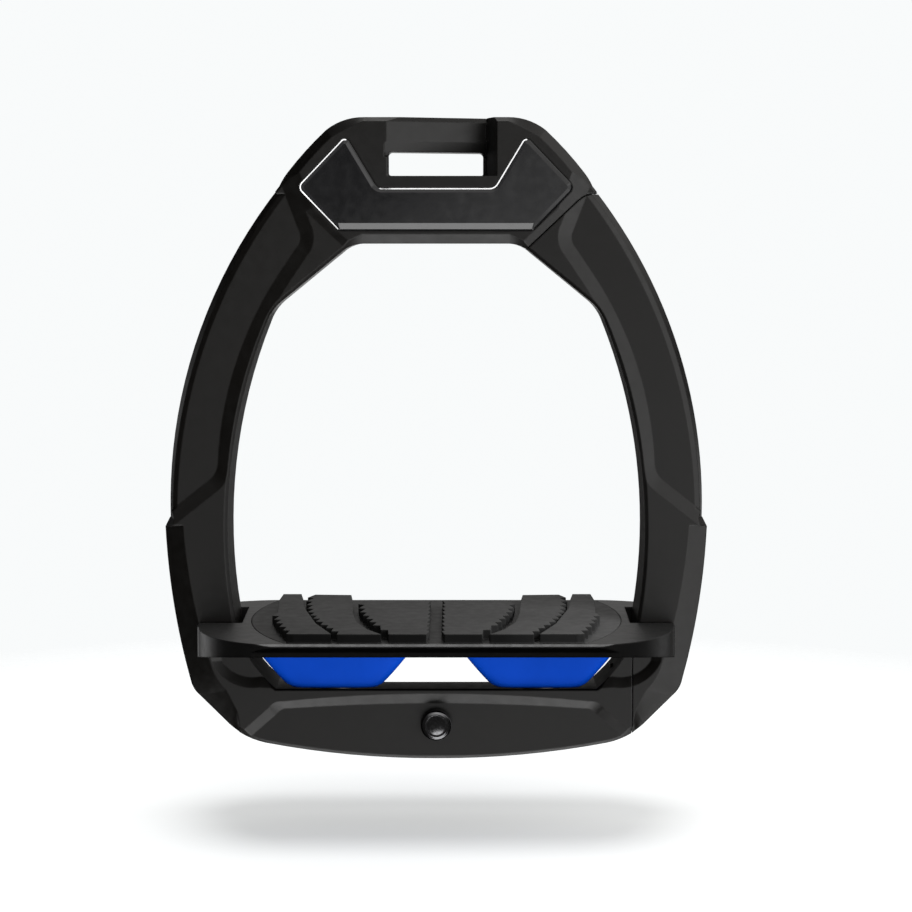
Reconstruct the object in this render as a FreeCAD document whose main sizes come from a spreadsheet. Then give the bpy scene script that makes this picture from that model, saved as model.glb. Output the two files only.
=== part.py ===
import FreeCAD, Part
import math
import os
from types import SimpleNamespace

# Safety stirrup iron, millimetres.
# +Z up, +X towards the outer (opening) branch, -Y towards the toe of the boot.
# The origin is the centre of the leather slot.

Vector = FreeCAD.Vector
Placement = FreeCAD.Placement
Rotation = FreeCAD.Rotation

doc = FreeCAD.newDocument("StirrupIron")

# ---------------------------------------------------------------- driving sizes
SIZES = {
    # frame
    "frame_depth": 22.0, "clear_width": 120.0, "edge_chamfer": 2.7, "opening_bevel": 1.7,
    "eye_top": 13.2, "eye_floor": -22.5, "eye_step": 0.8, "eye_slope": 2.2,
    "base_top": -150.7, "base_bottom": -171.4,
    "top_bevel": 1.3, "base_top_bevel": 0.8,
    "panel_recess": 1.3, "panel_slope": 3.9, "panel_inside": 1.65,
    "edge_facet": 1.5, "edge_drop": 0.7, "flank_depth": 2.2, "heel_bevel_depth": 2.6,
    "base_recess": 1.0, "relief_depth": 1.2, "relief_slope": 3.0,
    "drain_start": -1.5, "drain_drop": 2.0, "drain_half_width": 16.4,
    # leather slot and its skewed bar
    "slot_width": 27.2, "slot_height": 6.8, "slot_corner": 1.2,
    "bar_top_height": 1.3, "bar_top_depth": 1.3, "bar_foot_height": 3.0, "bar_foot_depth": 1.2,
    # inlays and badge
    "inlay_pocket": 1.0, "inlay_thickness": 1.9, "inlay_gap": 0.15,
    "inlay_edge": 0.35, "inlay_slope_drop": 0.4, "inlay_slope_run": 0.9, "inlay_lower_run": 1.7,
    "badge_radius": 4.5, "badge_height": 3.6, "badge_edge": 0.6,
    "badge_spigot_radius": 2.5, "badge_spigot_depth": 4.0, "badge_z": -161.0,
    # release hinge
    "seam_gap": 0.3, "hinge_x": 45.2, "hinge_z": -15.0, "knuckle_radius": 6.5, "tongue_radius": 4.0,
    "tongue_thickness": 8.0, "tongue_length": 8.0, "tongue_clearance": 0.35, "opening_angle": 75.0,
    "pin_radius": 2.0, "pin_front": -7.8, "pin_rear": 7.4, "pin_running": 0.05,
    "bush_radius": 3.0, "bush_fit": 0.01, "bush_length": 3.9,
    "plug_radius": 2.6, "plug_length": 2.0, "plug_gap": 0.1,
    "plug_key_radius": 1.2, "plug_key_depth": 1.2,
    "dowel_nose": 0.5,
    # catch at the foot of the branch
    "catch_x": 56.6, "magnet_radius": 3.5, "magnet_thickness": 3.0, "magnet_y": 5.2, "magnet_z": -155.0,
    "dowel_radius": 1.5, "dowel_length": 8.0, "dowel_proud": 2.2, "dowel_z": -146.5,
    "dowel_clearance": 0.6,
    # tread
    "tread_front": -40.5, "tread_rear": 22.0, "tread_half_width": 68.2, "straight_half_width": 45.7,
    "tread_incline": 2.4, "tread_front_top": -132.3, "tread_underside": -140.7, "front_face": 3.6,
    "toe_run": 27.0, "front_lip": 1.0, "undercut": 1.2, "rim_bevel": 0.9,
    "tread_block_top": -126.0, "deck_underside": -135.2, "keel_depth": 8.5, "notch_half_depth": 11.6,
    "notch_wall": 55.8, "keel_half_width": 50.9,
    # grip
    "grip_half_length": 53.6, "grip_front": -38.8, "grip_rear": 20.6, "grip_thickness": 1.5,
    "grip_gap": 0.15, "lug_rise": 2.4, "tooth_pitch": 5.2, "tooth_depth": 1.9, "tooth_flank": 0.8,
    "groove_tooth_depth": 0.8,
    # elastomers and hardware
    "elastomer_x": 29.6, "elastomer_top_half": 22.0, "elastomer_waist_half": 18.2,
    "elastomer_foot_half": 13.2, "elastomer_waist": -145.5,
    "elastomer_top_depth": 20.0, "elastomer_waist_depth": 18.6, "elastomer_foot_depth": 17.0,
    "insert_radius": 7.0, "insert_thickness": 2.5, "insert_clearance": 0.3,
    "bolt_radius": 3.0, "bolt_clearance": 0.3, "thread_clearance": 0.02,
    "head_radius": 5.0, "head_height": 5.0, "socket_radius": 2.4, "socket_depth": 2.5,
    "washer_radius": 5.4, "washer_thickness": 1.0, "counterbore_floor": -162.0,
    "screw_radius": 2.5, "screw_head_radius": 4.4, "screw_head_height": 3.0, "screw_sink": 0.4,
    "screw_key_radius": 2.3, "screw_key_depth": 1.8, "shank_overlap": 0.5, "tread_drill_depth": 12.0,
}

sheet = doc.addObject("Spreadsheet::Sheet", "Sizes")
for row, (alias, size) in enumerate(SIZES.items(), start=1):
    sheet.set("A%d" % row, alias)
    sheet.set("B%d" % row, str(size))
    sheet.setAlias("B%d" % row, alias)
doc.recompute()
S = SimpleNamespace(**{alias: float(sheet.get(alias)) for alias in SIZES})
HALF = S.frame_depth / 2


# ---------------------------------------------------------------- outlines in the XZ plane
def line(p, q):
    return ("line", p, q)


def arc(p, via, q):
    return ("arc", p, via, q)


def mirrored(segments):
    """The same outline on the other side of X = 0, walked the other way."""
    flipped = []
    for segment in reversed(segments):
        points = [(-x, z) for x, z in reversed(segment[1:])]
        flipped.append((segment[0],) + tuple(points))
    return flipped


def polygon(points):
    return [line(points[i], points[(i + 1) % len(points)]) for i in range(len(points))]


BRANCH_SKIN = arc((44.5, -6.3), (69.8, -53.6), (76.6, -100.8))
EDGE_LINE = arc((43.7, -7.6), (63.8, -41.6), (75.9, -100.8))
HEEL_SKIN = [
    arc((78.0, -103.6), (75.5, -128.4), (71.2, -148.6)),
    arc((71.2, -148.6), (70.3, -150.9), (68.6, -152.9)),
    line((68.6, -152.9), (60.1, -161.4)),
]


def outer_half():
    """Outside of the right half, from the top of the eye down to the underside."""
    return [
        line((0, S.eye_top), (20.5, S.eye_top)),
        arc((20.5, S.eye_top), (26.4, 12.2), (31.1, 9.6)),
        arc((31.1, 9.6), (36.6, 4.1), (42.2, -2.5)),
        arc((42.2, -2.5), (43.5, -4.4), (44.5, -6.3)),
        BRANCH_SKIN,
        line((76.6, -100.8), (78.0, -103.6)),
    ] + HEEL_SKIN + [
        arc((60.1, -161.4), (55.2, -164.8), (49.6, -166.8)),
        arc((49.6, -166.8), (25.0, -170.3), (0, S.base_bottom)),
    ]


def inner_half():
    """Foot opening of the right half, from the eye floor down to the base top."""
    half = S.clear_width / 2
    return [
        line((0, S.eye_floor), (20.9, S.eye_floor)),
        arc((20.9, S.eye_floor), (24.2, -23.2), (27.0, -25.0)),
        line((27.0, -25.0), (44.0, -38.9)),
        arc((44.0, -38.9), (46.6, -41.7), (48.3, -45.0)),
        arc((48.3, -45.0), (half - 0.4, -93.5), (56.7, -137.0)),
        arc((56.7, -137.0), (52.2, -144.4), (46.4, S.base_top)),
        line((46.4, S.base_top), (0, S.base_top)),
    ]


def panel_path():
    """Middle of the sloped band that borders the sunk outer panel of a branch."""
    return [
        line((43.6, -2.0), (37.6, -17.8)),
        arc((37.6, -17.8), (36.9, -21.2), (38.4, -24.6)),
        line((38.4, -24.6), (43.7, -32.4)),
        arc((43.7, -32.4), (53.6, -51.4), (61.0, -85.4)),
        arc((61.0, -85.4), (61.9, -88.7), (64.0, -91.3)),
        line((64.0, -91.3), (84.0, -107.0)),
    ]


def lifted(path, level, rise):
    """The same path with every point of its straight run at one height moved up or down."""
    return [(segment[0],) + tuple((x, z + rise) if abs(z - level) < 1e-6 else (x, z) for x, z in segment[1:])
            for segment in path]


def edge_of(segment):
    points = [Vector(x, z, 0) for x, z in segment[1:]]
    if segment[0] == "line":
        return Part.LineSegment(points[0], points[1])
    return Part.Arc(points[0], points[1], points[2])


def offset_path(segments, distance, closed=False):
    """Move a path sideways: positive moves it to its left."""
    def normal(curve, parameter):
        tangent = curve.tangent(parameter)[0]
        return Vector(-tangent.y, tangent.x, 0)

    def joint(first, second):
        middle = (first + second).normalize()
        return middle.multiply(1 / middle.dot(first))

    curves = [edge_of(segment) for segment in segments]
    starts = [normal(curve, curve.FirstParameter) for curve in curves]
    ends = [normal(curve, curve.LastParameter) for curve in curves]
    last = len(curves) - 1
    moved = []
    for i, segment in enumerate(segments):
        before = joint(ends[i - 1], starts[i]) if i > 0 or closed else starts[i]
        after = joint(ends[i], starts[(i + 1) % len(curves)]) if i < last or closed else ends[i]
        shifts = [before, after]
        if segment[0] == "arc":
            middle = curves[i].parameter(Vector(segment[2][0], segment[2][1], 0))
            shifts = [before, normal(curves[i], middle), after]
        points = [(p[0] + distance * n.x, p[1] + distance * n.y) for p, n in zip(segment[1:], shifts)]
        moved.append((segment[0],) + tuple(points))
    return moved


# ---------------------------------------------------------------- feature helpers
PLANES = {"XY": "XY_Plane", "XZ": "XZ_Plane", "YZ": "YZ_Plane"}


def new_body(name):
    body = doc.addObject("PartDesign::Body", name)
    body.Label = name
    return body


def add_sketch(body, name, plane, offset, segments, circles=()):
    """A sketch on one of the body's own origin planes, moved by an offset placement."""
    sketch = body.newObject("Sketcher::SketchObject", body.Name + "_" + name)
    role = PLANES[plane]
    feature = [f for f in body.Origin.OriginFeatures if f.Role == role][0]
    sketch.AttachmentSupport = [(feature, "")]
    sketch.MapMode = "FlatFace"
    if not isinstance(offset, Placement):
        offset = Placement(Vector(0, 0, offset), Rotation())
    sketch.AttachmentOffset = offset
    for segment in segments:
        sketch.addGeometry(edge_of(segment), False)
    for centre, radius in circles:
        sketch.addGeometry(Part.Circle(Vector(centre[0], centre[1], 0), Vector(0, 0, 1), radius), False)
    return sketch


def pad(body, name, sketch, length, midplane=False):
    feature = body.newObject("PartDesign::Pad", body.Name + "_" + name)
    feature.Profile = sketch
    feature.Midplane = midplane
    feature.setExpression("Length", length)
    doc.recompute()
    return feature


def pocket(body, name, sketch, length, midplane=False, reverse=False):
    """Cut into the body and make sure that the cut removes material."""
    before = body.Shape.Volume
    feature = body.newObject("PartDesign::Pocket", body.Name + "_" + name)
    feature.Profile = sketch
    feature.Midplane = midplane
    feature.Reversed = reverse
    feature.setExpression("Length", length)
    doc.recompute()
    if body.Shape.Volume > before - 1e-3:
        raise RuntimeError("%s cuts nothing" % feature.Name)
    return feature


def loft(body, name, kind, first, second):
    feature = body.newObject("PartDesign::%sLoft" % kind, body.Name + "_" + name)
    feature.Profile = first
    feature.Sections = [second]
    feature.Ruled = True
    doc.recompute()
    return feature


# ---------------------------------------------------------------- frame blank
FAR = 95.0
UNDER = S.base_bottom - 5
SKIN = 0.02
OVERCUT = 0.2


def closed_to(path, side_x):
    """Close an open path with a detour past side_x."""
    start, end = path[0][1], path[-1][-1]
    corners = [end, (side_x, end[1]), (side_x, start[1]), start]
    return path + [line(corners[i], corners[i + 1]) for i in range(3)]


# seam line between the eye and the branch, and its normal into the branch
SEAM_OUTER, SEAM_INNER = Vector(44.3, 0, -6.4), Vector(26.0, 0, -23.6)
SEAM_RUN = (SEAM_INNER - SEAM_OUTER).normalize()
SEAM_NORMAL = Vector(-SEAM_RUN.z, 0, SEAM_RUN.x)
HINGE = Vector(S.hinge_x, 0, S.hinge_z)


def below_eye(shift):
    """Everything below the two slanted seams; a negative shift moves its border into the eye."""
    move = SEAM_NORMAL * shift
    outer = SEAM_OUTER - SEAM_RUN * 22 + move
    inner = SEAM_INNER + SEAM_RUN * 3.5 + move
    right = [(inner.x, inner.z), (outer.x, outer.z), (FAR, outer.z), (FAR, UNDER)]
    return polygon([(-x, z) for x, z in reversed(right)] + right)


def heel_rim():
    """Inner border of the broad bevel on the lower corner, on the face of the frame."""
    return [
        arc((72.6, -103.0), (70.0, -124.0), (65.2, -143.0)),
        arc((65.2, -143.0), (63.4, -147.4), (60.6, -151.0)),
        line((60.6, -151.0), (57.6, -157.0)),
        arc((57.6, -157.0), (57.0, -160.5), (56.6, -166.0)),
    ]


def heel_skin():
    """Outer border of the broad bevel, on the outside of the frame."""
    return HEEL_SKIN + [arc((60.1, -161.4), (58.1, -163.0), (55.8, -164.6))]


def relief_path(inset):
    """Shallow relief behind a wing of the tread, inset towards its middle."""
    return [
        line((46.0, -150.6 + inset), (51.0, -150.2 + inset)),
        arc((51.0, -150.2 + inset), (60.6 - 0.5 * inset, -148.0 + 0.8 * inset), (65.0 - inset, -142.6)),
        line((65.0 - inset, -142.6), (66.0 - inset, -133.5 - inset)),
    ]


def base_panel(middle, corner, low):
    """Outline of the sunk panel on the base: a bowed top, round corners and slanted ends."""
    before, after = (corner[0] - 2.2, corner[1] + 0.3), (corner[0] + 1.9, corner[1] - 1.6)
    bottom = (low[0], UNDER)
    right = [arc(before, corner, after), line(after, low), line(low, bottom)]
    left = mirrored(right)
    return ([arc((-before[0], before[1]), (0, middle), before)] + right +
            [line(bottom, (-bottom[0], UNDER))] + left)


PANEL_RIM = (-151.9, (46.6, -154.5), (56.0, -162.8))
PANEL_FLOOR = (-155.0, (44.6, -156.8), (53.6, -164.6))


def sink(body, label, face, rim, floor, rim_depth, floor_depth):
    """Sloped cut into one face, from the rim outline down to the floor outline."""
    where = {"front": 1, "rear": -1}[face]
    top = add_sketch(body, label + "_rim", "XZ", where * (HALF - rim_depth), rim)
    bottom = add_sketch(body, label + "_floor", "XZ", where * (HALF - floor_depth), floor)
    loft(body, label, "Subtractive", top, bottom)


def frame_blank(name):
    """The whole bevelled ring with its sunk panels; each frame half is cut from one."""
    body = new_body(name)
    outside = outer_half() + mirrored(outer_half())
    opening = inner_half() + mirrored(inner_half())
    bevel = S.edge_chamfer
    solid = add_sketch(body, "outside", "XZ", 0, outside)
    pad(body, "core", solid, "Sizes.frame_depth - 2 * Sizes.edge_chamfer", midplane=True)
    for face, where in (("front", 1), ("rear", -1)):
        skirt = add_sketch(body, face + "_skirt", "XZ", where * (HALF - bevel), outside)
        inset = lifted(offset_path(outside, -bevel, True), S.eye_top - bevel, bevel - S.top_bevel)
        crown = add_sketch(body, face + "_crown", "XZ", where * HALF, inset)
        loft(body, face + "_bevel", "Additive", skirt, crown)
    hole = add_sketch(body, "opening", "XZ", 0, opening)
    pocket(body, "foot_opening", hole, "Sizes.frame_depth + 2", midplane=True)
    for face in ("front", "rear"):
        run = S.opening_bevel
        wide = lifted(offset_path(opening, run + SKIN, True), S.base_top - run - SKIN, run - S.base_top_bevel)
        wide = lifted(wide, S.eye_floor + run + SKIN, S.edge_chamfer - run)
        narrow = offset_path(opening, -OVERCUT, True)
        sink(body, face + "_opening_bevel", face, wide, narrow, -SKIN, run + OVERCUT)
    level = S.eye_step
    run_out = S.panel_slope - S.panel_inside + level * S.panel_slope / S.panel_recess
    for face in ("front", "rear"):
        sink(body, face + "_eye_step", face, below_eye(-S.eye_slope), below_eye(0.0), -SKIN, level)
        for side, turn in (("right", lambda path: path), ("left", mirrored)):
            label = "%s_%s_" % (face, side)
            rim = closed_to(offset_path(panel_path(), -run_out), FAR)
            floor = closed_to(offset_path(panel_path(), S.panel_inside), FAR)
            sink(body, label + "panel", face, turn(rim), turn(floor), -SKIN, level + S.panel_recess)
            panel = level + S.panel_recess
            rim = closed_to(offset_path([EDGE_LINE], -S.edge_facet), FAR)
            floor = closed_to(offset_path([EDGE_LINE], 0.0), FAR)
            sink(body, label + "edge", face, turn(rim), turn(floor), panel - SKIN, panel + S.edge_drop)
            rim = closed_to(offset_path([EDGE_LINE], -SKIN), FAR)
            floor = closed_to(offset_path([BRANCH_SKIN], OVERCUT), FAR)
            sink(body, label + "flank", face, turn(rim), turn(floor), panel + S.edge_drop - SKIN,
                 panel + S.edge_drop + S.flank_depth)
            rim = closed_to(heel_rim(), FAR)
            floor = closed_to(offset_path(heel_skin(), OVERCUT), FAR)
            sink(body, label + "heel", face, turn(rim), turn(floor), level - SKIN,
                 level + S.heel_bevel_depth + OVERCUT / 2)
            rim, floor = closed_to(relief_path(0), 44.0), closed_to(relief_path(S.relief_slope), 44.0)
            sink(body, label + "relief", face, turn(rim), turn(floor), level - SKIN,
                 level + S.relief_depth)
        sink(body, face + "_base_panel", face, base_panel(*PANEL_RIM), base_panel(*PANEL_FLOOR),
             level - SKIN, level + S.base_recess)
    return body


# ---------------------------------------------------------------- Part helpers
def add(kind, name, place=None, **sizes):
    """A Part object whose sizes are expressions on the sheet."""
    obj = doc.addObject("Part::" + kind, name)
    for prop, expression in sizes.items():
        obj.setExpression(prop, expression)
    if place is not None:
        obj.Placement = place
    return obj


def cylinder(name, base, direction, radius, height):
    """A cylinder from a base point along a direction; radius and height are expressions."""
    turn = Rotation(Vector(0, 0, 1), Vector(*direction))
    return add("Cylinder", name, Placement(Vector(*base), turn), Radius=radius, Height=height)


def cut(name, base, tool):
    obj = doc.addObject("Part::Cut", name)
    obj.Base, obj.Tool = base, tool
    return obj


def fuse(name, shapes):
    obj = doc.addObject("Part::MultiFuse", name)
    obj.Shapes = shapes
    return obj


def prism(name, plane, segments, start, length):
    """Straight block on an outline: plane XZ runs along +Y, XY along +Z and YZ along +X."""
    body = new_body(name)
    direction = {"XY": 1, "XZ": -1, "YZ": 1}[plane]
    sketch = add_sketch(body, "outline", plane, direction * (start + length / 2), segments)
    feature = body.newObject("PartDesign::Pad", name + "_pad")
    feature.Profile = sketch
    feature.Midplane = True
    feature.Length = length
    return body


def label(obj, name):
    obj.Label = name
    NODES[name] = obj
    return obj


NODES = {}
FACES = (("front", -1), ("rear", 1))
# share of the seam gap that is left between the magnets and their keepers
CATCH_SHARE = 0.7


def flat(point):
    return (point.x, point.z)


def seam_block(name, gap):
    """Everything on the branch side of the two seams, moved back by the gap."""
    shift = SEAM_NORMAL * gap
    outer = SEAM_OUTER - SEAM_RUN * 10 + shift
    inner = SEAM_INNER + SEAM_RUN * 4.8 + shift
    catch = S.catch_x + gap * CATCH_SHARE
    corners = [flat(outer), flat(inner), (40.0, -60.0), (40.0, -130.0), (catch, -130.0), (catch, UNDER),
               (FAR, UNDER), (FAR, outer.z)]
    return prism(name, "XZ", polygon(corners), -HALF - 1, S.frame_depth + 2)


def along(angle, distance):
    """Point at a distance from the hinge in a direction in the XZ plane."""
    return HINGE + Vector(math.cos(math.radians(angle)), 0, math.sin(math.radians(angle))) * distance


TONGUE_ANGLE = math.degrees(math.atan2(-SEAM_NORMAL.z, -SEAM_NORMAL.x))


def tongue_sweep(name):
    """Room in the branch for the tongue while the branch swings from shut to open."""
    width = S.tongue_radius + S.tongue_clearance
    reach = 16.0
    open_angle = TONGUE_ANGLE - S.opening_angle
    shut_side, open_side = TONGUE_ANGLE + 90, open_angle - 90
    start, end = along(shut_side, width), along(open_side, width)
    corners = [start, start + (along(TONGUE_ANGLE, reach) - HINGE)]
    corners += [along(TONGUE_ANGLE - S.opening_angle * share, 1.4 * reach) for share in (0.2, 0.5, 0.8)]
    corners += [end + (along(open_angle, reach) - HINGE), end]
    outline = [line(flat(p), flat(q)) for p, q in zip(corners, corners[1:])]
    under = along((shut_side + open_side + 360) / 2, width)
    outline.append(arc(flat(end), flat(under), flat(start)))
    thickness = S.tongue_thickness + 2 * S.tongue_clearance
    return prism(name, "XZ", outline, -thickness / 2, thickness)


def around_knuckle(name, turns, clearance):
    """Wedge about the hinge, past the round of the knuckle, between the seam and the skin."""
    reach = 20.0
    corners = [flat(HINGE)] + [flat(along(TONGUE_ANGLE - turn, reach)) for turn in turns]
    wedge = prism(name + "_wedge", "XZ", polygon(corners), -HALF - 1, S.frame_depth + 2)
    round_part = cylinder(name + "_round", (S.hinge_x, -HALF - 2, S.hinge_z), (0, 1, 0),
                          "Sizes.knuckle_radius + %f" % clearance, "Sizes.frame_depth + 4")
    return cut(name, wedge, round_part)


def rounded_corner(before, corner, after, radius):
    """Tangent points and middle of the arc that rounds a corner."""
    back = Vector(before[0] - corner[0], before[1] - corner[1], 0).normalize()
    ahead = Vector(after[0] - corner[0], after[1] - corner[1], 0).normalize()
    half = back.getAngle(ahead) / 2
    run = radius / math.tan(half)
    bisector = (back + ahead).normalize()
    sag = radius / math.sin(half) - radius
    return [(corner[0] + way.x * length, corner[1] + way.y * length)
            for way, length in ((back, run), (bisector, sag), (ahead, run))]


def inlay_outline(gap, lift=0.0):
    """Bow-tie outline of the eye inlay with rounded corners; lift raises its lower edge."""
    right = [(16.5, -6.7), (25.4, 8.1), (39.5, -6.6), (27.6, -18.9)]
    bulge = [-1, 1, 1, 1]
    radii = [2.4, 1.6, 2.2, 2.0]
    smallest = 0.4
    corners = [(-x, z) for x, z in reversed(right)] + right
    radii = [max(radius + gap * way, smallest) for radius, way in zip(radii, bulge)]
    radii = radii[::-1] + radii
    sharp = [segment[1] for segment in offset_path(polygon(corners), gap, True)]
    side = (right[2][0] - right[3][0]) / (right[2][1] - right[3][1])
    sharp[0] = (sharp[0][0] - side * lift, sharp[0][1] + lift)
    sharp[-1] = (sharp[-1][0] + side * lift, sharp[-1][1] + lift)
    count = len(sharp)
    arcs = [rounded_corner(sharp[i - 1], sharp[i], sharp[(i + 1) % count], radii[i]) for i in range(count)]
    outline = []
    for i in range(count):
        outline.append(arc(*arcs[i]))
        outline.append(line(arcs[i][2], arcs[(i + 1) % count][0]))
    return outline


# corners of the wedge beside the skewed bar, in plan
BAR_START, BAR_END = (-14.0, -HALF - SKIN, 0), (14.3, -1.0, 0)
NOTCH_WALL = (17.3, -HALF - SKIN, 0)


def rounded_rectangle(half_x, half_z, radius):
    """Rectangle about the origin with rounded corners."""
    bow = radius * (1 - 1 / math.sqrt(2))
    outline = []
    signs = [(1, 1), (-1, 1), (-1, -1), (1, -1)]
    for i, (sx, sz) in enumerate(signs):
        first = (sx * half_x, sz * (half_z - radius))
        second = (sx * (half_x - radius), sz * half_z)
        if sx * sz < 0:
            first, second = second, first
        outline.append(arc(first, (sx * (half_x - bow), sz * (half_z - bow)), second))
        nx, nz = signs[(i + 1) % 4]
        after = (nx * (half_x - radius), nz * half_z)
        if nx * nz > 0:
            after = (nx * half_x, nz * (half_z - radius))
        outline.append(line(second, after))
    return outline


def bar_edge(name, side, edge, rise, depth):
    """Box that bevels the long edge of the skewed bar at height edge, up or down to edge + rise."""
    start, end = Vector(*BAR_START) * side, Vector(*BAR_END) * side
    run, over = (end - start).normalize(), 1.0
    front = Vector(run.y, -run.x, 0)
    slant = front * depth + Vector(0, 0, rise)
    reach = slant.Length
    length = (end - start).Length + over
    box = add("Box", name, Length="%f mm" % length, Width="%f mm" % reach,
              Height="%f mm" % (reach + 2 * over))
    up = slant * (1 / reach)
    outward = (front * abs(rise) - Vector(0, 0, math.copysign(depth, rise))) * (1 / reach)
    side_way = outward.cross(up)
    centre = (start + end) * 0.5 - front * depth + Vector(0, 0, edge)
    corner = centre - side_way * (length / 2) - up * over
    box.Placement = Placement(corner, Rotation(side_way, outward, up, "XYZ"))
    return box


def bar_notch(name, turn):
    """Wedge cut beside the skewed bar, open at the top of the eye."""
    corners = [BAR_START, NOTCH_WALL, BAR_END]
    corners = [(x * turn, y * turn) for x, y, z in corners]
    return prism(name, "XY", polygon(corners), -S.slot_height / 2, 20.0)


def frame_cutters():
    """Everything cut from the eye and the base."""
    tools = [bar_notch("front_notch", 1), bar_notch("rear_notch", -1)]
    outline = rounded_rectangle(S.slot_width / 2, S.slot_height / 2, S.slot_corner)
    tools.append(prism("slot", "XZ", outline, -HALF - 1, S.frame_depth + 2))
    for side in (1, -1):
        face = {1: "front", -1: "rear"}[side]
        tools.append(bar_edge(face + "_bar_foot", side, S.slot_height / 2, S.bar_foot_height,
                              S.bar_foot_depth))
        tools.append(bar_edge(face + "_bar_top", side, S.eye_top, -S.bar_top_height, S.bar_top_depth))
    for face, side in FACES:
        start = -HALF - 1 if side < 0 else HALF - S.inlay_pocket
        tools.append(prism(face + "_inlay_pocket", "XZ", inlay_outline(0), start, 1 + S.inlay_pocket))
    trough = polygon([(S.drain_start, S.base_top), (HALF + 1, S.base_top - S.drain_drop),
                      (HALF + 1, S.base_top + 1), (S.drain_start, S.base_top + 1)])
    tools.append(prism("drain_slope", "YZ", trough, -S.drain_half_width, 2 * S.drain_half_width))
    face_y = -HALF + S.eye_step + S.base_recess
    tools.append(cylinder("badge_hole", (0, face_y - 1, S.badge_z), (0, 1, 0),
                          "Sizes.badge_spigot_radius + Sizes.bush_fit", "Sizes.badge_spigot_depth + 1"))
    for side, x in (("left", -S.elastomer_x), ("right", S.elastomer_x)):
        tools.append(cylinder(side + "_bolt_hole", (x, 0, S.base_bottom - 1), (0, 0, 1),
                              "Sizes.bolt_radius + Sizes.bolt_clearance",
                              "Sizes.base_top - Sizes.base_bottom + 2"))
        tools.append(cylinder(side + "_counterbore", (x, 0, S.base_bottom - 1), (0, 0, 1),
                              "Sizes.washer_radius + Sizes.bolt_clearance",
                              "Sizes.counterbore_floor - Sizes.base_bottom + 1"))
    for face, side in FACES:
        tools.append(cylinder(face + "_magnet_hole", (S.catch_x + 1, side * S.magnet_y, S.magnet_z),
                              (-1, 0, 0), "Sizes.magnet_radius + Sizes.bush_fit",
                              "Sizes.magnet_thickness + 1"))
    tools.append(cylinder("dowel_hole", (S.catch_x + 1, 0, S.dowel_z), (-1, 0, 0),
                          "Sizes.dowel_radius + Sizes.bush_fit",
                          "Sizes.dowel_length - Sizes.dowel_proud + 1"))
    return tools


def bore_tongue(name, radius):
    return cylinder(name, (S.hinge_x, -HALF, S.hinge_z), (0, 1, 0), radius, "Sizes.frame_depth")


def make_tongue():
    """Finger of the eye that carries the hinge bushes."""
    across = along(TONGUE_ANGLE + 90, S.tongue_radius) - HINGE
    reach = along(TONGUE_ANGLE, S.tongue_length) - HINGE
    sides = [HINGE - across, HINGE - across + reach, HINGE + across + reach, HINGE + across]
    outline = [line(flat(p), flat(q)) for p, q in zip(sides, sides[1:])]
    under = along(TONGUE_ANGLE + 180, S.tongue_radius)
    outline.append(arc(flat(sides[-1]), flat(under), flat(sides[0])))
    return prism("tongue", "XZ", outline, -S.tongue_thickness / 2, S.tongue_thickness)


def main_solid(shape):
    """The largest solid, without the paper-thin slivers that a cut may leave."""
    return max(shape.Solids, key=lambda solid: solid.Volume)


def make_frame():
    blank = frame_blank("frame_blank")
    doc.recompute()
    shoulder = around_knuckle("shoulder", (0, 30, 60), S.seam_gap)
    eye_and_base = cut("fixed_half", blank, cut("seam_tool", seam_block("seam_cut", 0), shoulder))
    cutters = fuse("frame_cutters", frame_cutters())
    hollowed = cut("hollowed_half", eye_and_base, cutters)
    with_tongue = fuse("half_with_tongue", [hollowed, make_tongue()])
    label(cut("main_frame", with_tongue, bore_tongue("bush_bore", "Sizes.bush_radius")), "main_frame")

    moving = doc.addObject("Part::Common", "moving_half")
    moving.Base, moving.Tool = blank, seam_block("seam_keep", S.seam_gap)
    tools = [tongue_sweep("tongue_room"), around_knuckle("knuckle", (0, 30, 60, 105), 0)]
    tools.append(cylinder("pin_hole", (S.hinge_x, S.pin_front, S.hinge_z), (0, 1, 0),
                          "Sizes.pin_radius + Sizes.bush_fit", "Sizes.frame_depth"))
    tools.append(cylinder("plug_hole", (S.hinge_x, S.pin_rear + S.plug_gap, S.hinge_z), (0, 1, 0),
                          "Sizes.plug_radius + Sizes.bush_fit", "Sizes.frame_depth"))
    seat = S.catch_x + S.seam_gap * CATCH_SHARE - 1
    for face, side in FACES:
        tools.append(cylinder(face + "_keeper_hole", (seat, side * S.magnet_y, S.magnet_z), (1, 0, 0),
                              "Sizes.magnet_radius + Sizes.bush_fit", "Sizes.magnet_thickness + 1"))
    tools.append(cylinder("dowel_socket", (seat, 0, S.dowel_z), (1, 0, 0),
                          "Sizes.dowel_radius + Sizes.dowel_clearance",
                          "Sizes.dowel_proud + Sizes.dowel_clearance + 1"))
    shaped = cut("shaped_branch", moving, fuse("branch_cutters", tools))
    doc.recompute()
    branch = doc.addObject("Part::Feature", "release_branch")
    branch.Shape = main_solid(shaped.Shape)
    label(branch, "release_branch")


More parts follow.
